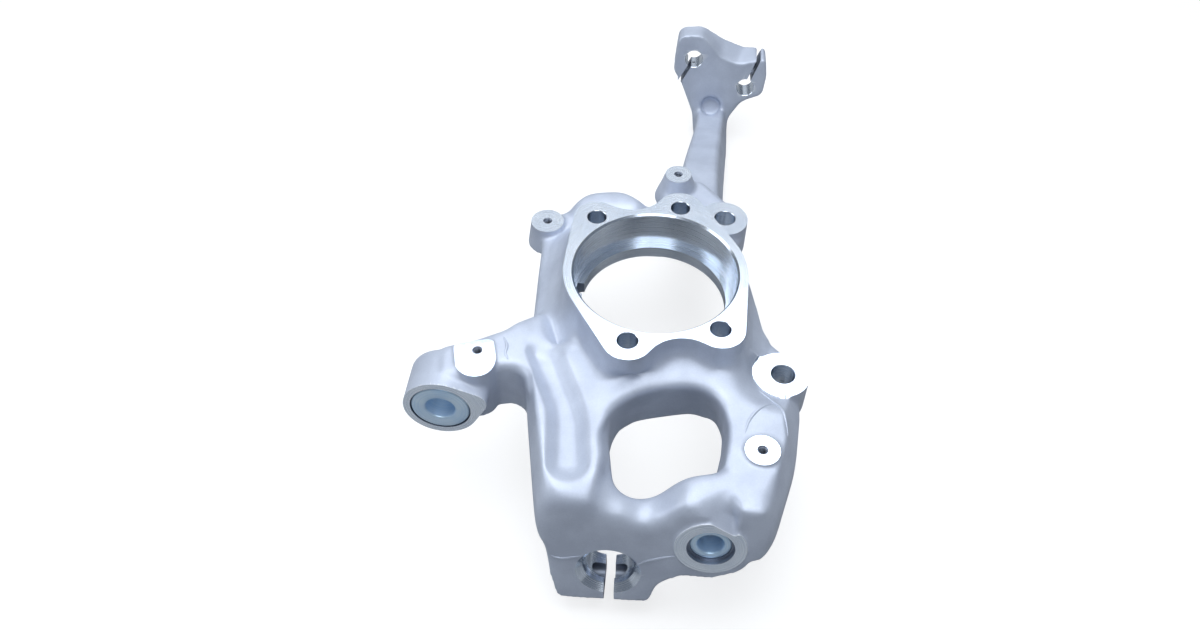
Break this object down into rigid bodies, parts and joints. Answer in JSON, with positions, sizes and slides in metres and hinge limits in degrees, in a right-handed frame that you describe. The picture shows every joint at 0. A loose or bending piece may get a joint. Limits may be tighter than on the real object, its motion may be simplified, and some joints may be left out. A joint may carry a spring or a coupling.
{
  "type": "steering knuckle",
  "caption": "Cast steering knuckle with a bored hub flange, caliper bosses, tie-rod arm, pinch-clamped lower joint flange and a long arm ending in a split clamp head.",
  "frame": {"origin": "centre of the bearing bore in the plane of the machined hub face", "axes": "+Z outboard along the hub axis, +Y towards the upper clamp head, +X towards the caliper bosses; the knuckle lies on its back"},
  "size_m": [0.3276, 0.4936, 0.121],
  "materials": {
    "cast_aluminium": "satin shot-blasted casting, bright where it is machined",
    "plated_steel": "blue-tinted zinc plating, satin"
  },
  "bodies": {
    "root": {"knuckle_casting": "cast_aluminium", "tie_rod_sleeve": "plated_steel", "ball_joint_sleeve": "plated_steel"}
  },
  "joints": []
}
